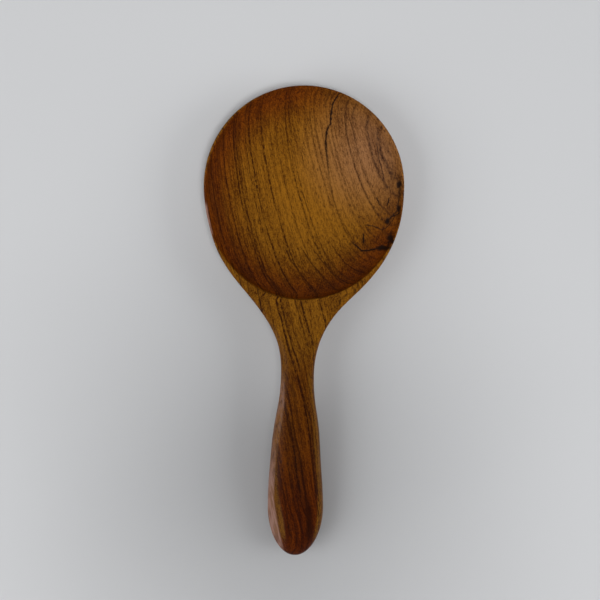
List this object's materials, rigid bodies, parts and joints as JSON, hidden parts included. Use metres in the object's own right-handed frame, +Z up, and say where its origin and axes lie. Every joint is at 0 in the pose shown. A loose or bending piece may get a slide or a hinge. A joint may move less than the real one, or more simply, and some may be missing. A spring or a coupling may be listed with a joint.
{
  "type": "rice paddle",
  "caption": "Rice paddle carved from one block of teak: a wide shallow round bowl with a domed underside, a raised neck and a bellied grip with a round end.",
  "frame": {"origin": "middle of the flat foot under the bowl, on the surface that the paddle lies on", "axes": "+Z up, +Y towards the bowl's front lip with the grip running towards -Y, +X to the right seen from above with the lip away"},
  "size_m": [0.085, 0.2005, 0.0192],
  "materials": {
    "teak": "reddish golden teak, sanded smooth and oiled to a soft satin sheen"
  },
  "bodies": {
    "root": {"paddle": "teak"}
  },
  "joints": []
}
